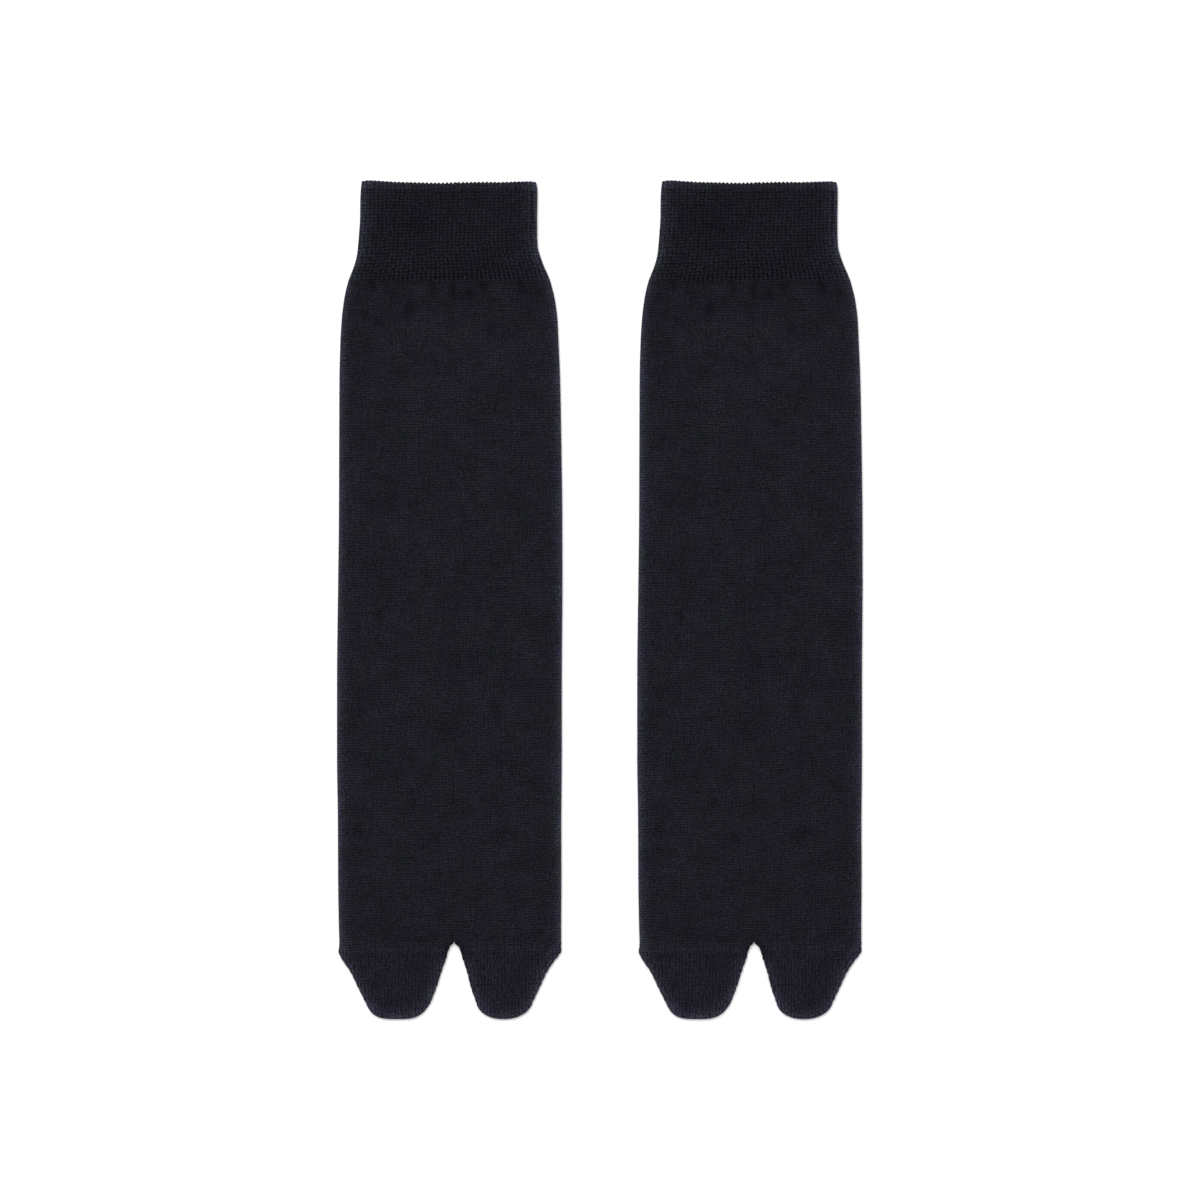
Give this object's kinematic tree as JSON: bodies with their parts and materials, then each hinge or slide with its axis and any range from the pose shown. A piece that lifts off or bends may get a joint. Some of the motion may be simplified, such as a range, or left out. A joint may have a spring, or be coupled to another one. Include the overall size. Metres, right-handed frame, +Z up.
{
  "type": "pair of split-toe crew socks",
  "caption": "Fine knit crew socks with ribbed cuffs and split toes, lying flat side by side, front panels on back panels.",
  "frame": {"origin": "on the surface the socks lie on, under the middle of the pair", "axes": "+Z up, +Y along the socks towards their cuffs, the toes towards -Y, +X from sock a to sock b"},
  "size_m": [0.2102, 0.3349, 0.0036],
  "materials": {
    "rib_knit": "matt navy-black fine rib knit",
    "plain_knit": "matt navy-black fine plain knit with a faint lighter fuzz at its folds",
    "toe_knit": "matt navy-black plain knit with slightly raised lines of stitches"
  },
  "bodies": {
    "root": {"sock_a_cuff": "rib_knit", "sock_a_leg_and_foot": "plain_knit", "sock_a_toes_pocket": "toe_knit", "sock_a_big_toe_pocket": "toe_knit", "sock_b_cuff": "rib_knit", "sock_b_leg_and_foot": "plain_knit", "sock_b_toes_pocket": "toe_knit", "sock_b_big_toe_pocket": "toe_knit"}
  },
  "joints": []
}
